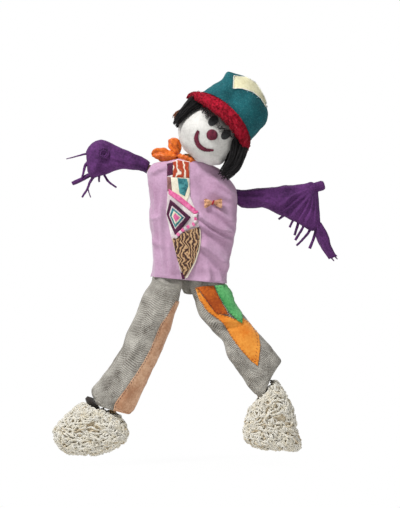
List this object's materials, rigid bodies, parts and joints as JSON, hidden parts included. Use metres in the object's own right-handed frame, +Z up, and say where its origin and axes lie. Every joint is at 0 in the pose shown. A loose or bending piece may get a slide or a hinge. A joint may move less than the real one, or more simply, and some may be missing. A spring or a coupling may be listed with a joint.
{
  "type": "hanging scarecrow figure",
  "caption": "Hanging stuffed scarecrow on a bolted wooden frame, with hat, smock, fringed sleeves, patched trousers and mop feet.",
  "frame": {"origin": "middle of the hanger plate's rear face, which lies against the wall", "axes": "+Z up, the figure faces -Y, +X to the viewer's right"},
  "size_m": [0.857, 0.168, 1.1375],
  "materials": {
    "steel": "zinc plated",
    "wood": "planed pine",
    "head_cotton": "plain woven cotton",
    "face_felt": "felt",
    "eye_felt": "felt",
    "hair": "wool strands",
    "crown_wool": "felted knit",
    "brim_wool": "fluffy yarn",
    "patch_cream": "stitched cotton",
    "scarf": "satin",
    "stuffing": "calico bag",
    "smock": "soft cotton",
    "print": "printed scraps",
    "bow": "gathered scrap",
    "sleeve": "stretch jersey",
    "tweed": "herringbone weave",
    "panel": "plain cotton",
    "patch_rust": "stitched cotton",
    "patch_green": "stitched cotton",
    "patch_orange": "stitched cotton",
    "band": "knotted strip",
    "mop_yarn": "cotton mop yarn"
  },
  "bodies": {
    "frame": {"hanger_plate": "steel", "hanger_screw_1": "steel", "hanger_screw_2": "steel", "spine_batten": "wood", "shoulder_bar": "wood", "hip_bar": "wood", "shoulder_screw": "steel", "hip_screw": "steel", "neck_screw": "steel", "arm_bolt_left": "steel", "arm_nut_left": "steel", "arm_bolt_right": "steel", "arm_nut_right": "steel", "leg_bolt_left": "steel", "leg_nut_left": "steel", "leg_bolt_right": "steel", "leg_nut_right": "steel", "neck_block": "wood", "scarf_wrap": "scarf", "scarf_lobe_high": "scarf", "scarf_lobe_low": "scarf", "torso_stuffing": "stuffing", "shirt": "smock", "print_strip": "print", "bow": "bow"},
    "neck": {"neck_dowel": "wood"},
    "head": {"head": "head_cotton", "eye_left": "eye_felt", "eye_right": "eye_felt", "nose": "face_felt", "mouth": "face_felt", "hair_left": "hair", "hair_right": "hair"},
    "hat": {"hat_crown": "crown_wool", "hat_brim": "brim_wool", "hat_patch": "patch_cream"},
    "arm_left": {"arm_stick_left": "wood", "sleeve_left": "sleeve", "fringe_left_1": "sleeve", "fringe_left_2": "sleeve", "fringe_left_3": "sleeve"},
    "arm_right": {"arm_stick_right": "wood", "sleeve_right": "sleeve", "pole_cap": "sleeve", "sleeve_finger": "sleeve", "fringe_right_1": "sleeve", "fringe_right_2": "sleeve", "fringe_right_3": "sleeve"},
    "leg_left": {"leg_stick_left": "wood", "trouser_left": "tweed", "trouser_panel": "panel", "ankle_band": "band", "mop_left": "mop_yarn"},
    "leg_right": {"leg_stick_right": "wood", "trouser_right": "tweed", "patch_rust": "patch_rust", "patch_green": "patch_green", "patch_orange": "patch_orange", "mop_right": "mop_yarn"}
  },
  "joints": [
    {"name": "head_tilt", "type": "hinge", "parent": "frame", "child": "neck", "pos_m": [-0.012, -0.0539, 0.053], "axis": [0, 1, 0], "range_deg": [-44, 2], "deforming": ["scarf_lobe_high"]},
    {"name": "head_turn", "type": "hinge", "parent": "neck", "child": "head", "pos_m": [-0.012, -0.0539, 0.053], "axis": [0.6947, 0, 0.7193], "range_deg": [-12, 12]},
    {"name": "hat_lift", "type": "slide", "parent": "head", "child": "hat", "axis": [0.6947, 0, 0.7193], "range_m": [0, 0.14]},
    {"name": "shoulder_left", "type": "hinge", "parent": "frame", "child": "arm_left", "pos_m": [-0.118, -0.0449, 0.022], "axis": [0, 1, 0], "range_deg": [-50, 30]},
    {"name": "shoulder_right", "type": "hinge", "parent": "frame", "child": "arm_right", "pos_m": [0.112, -0.0449, -0.062], "axis": [0, -1, 0], "range_deg": [-20, 30]},
    {"name": "hip_left", "type": "hinge", "parent": "frame", "child": "leg_left", "pos_m": [-0.078, -0.0449, -0.315], "axis": [0, 1, 0], "range_deg": [-6, 12]},
    {"name": "hip_right", "type": "hinge", "parent": "frame", "child": "leg_right", "pos_m": [0.04, -0.0449, -0.315], "axis": [0, -1, 0], "range_deg": [-6, 8]}
  ]
}
